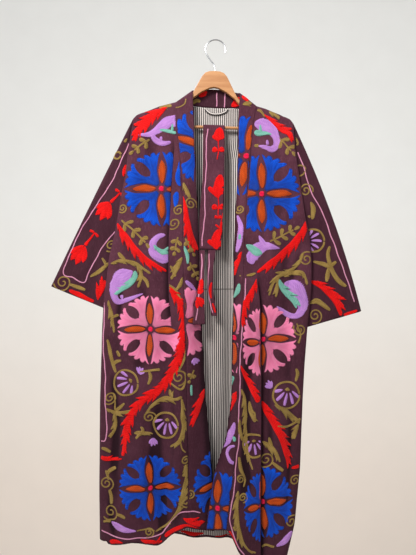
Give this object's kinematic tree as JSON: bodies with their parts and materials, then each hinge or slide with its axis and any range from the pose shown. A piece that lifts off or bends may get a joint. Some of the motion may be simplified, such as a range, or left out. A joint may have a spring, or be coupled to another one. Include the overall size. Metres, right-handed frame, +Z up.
{
  "type": "suzani kimono jacket on a hanger",
  "caption": "Long open-front embroidered kimono jacket with wide sleeves, a collar band, a striped back lining and its own sash, hung flat on a wooden hanger with a wire hook.",
  "frame": {"origin": "underside of the hook's crown, where a rod or wall hook holds the hanger", "axes": "+Z up along the hanging jacket, front faces -Y, +X to the right as seen from the front"},
  "size_m": [0.836, 0.0736, 1.4044],
  "materials": {
    "plum_cotton": "matte plum cotton twill",
    "striped_lining": "thin cotton in narrow black and off-white stripes",
    "hanger_wood": "clear satin varnish",
    "hook_steel": "bright plated wire",
    "thread_blue": "chain-stitched wool, royal blue",
    "thread_pink": "chain-stitched wool, rose pink",
    "thread_red": "chain-stitched wool, scarlet",
    "thread_orange": "chain-stitched wool, burnt orange",
    "thread_olive": "chain-stitched wool, olive",
    "thread_lilac": "chain-stitched wool, lilac",
    "thread_mint": "chain-stitched wool, mint"
  },
  "bodies": {
    "root": {"front_left": "plum_cotton", "front_right": "plum_cotton", "back": "plum_cotton", "lining_back": "striped_lining", "band_left": "plum_cotton", "band_right": "plum_cotton", "band_neck": "plum_cotton", "sleeve_left": "plum_cotton", "sleeve_right": "plum_cotton", "hanging_loop": "striped_lining", "belt": "plum_cotton", "belt_tail_left": "plum_cotton", "belt_tail_right": "plum_cotton", "hanger_hook": "hook_steel", "hanger_body": "hanger_wood", "hanger_bar": "hanger_wood"}
  },
  "joints": []
}
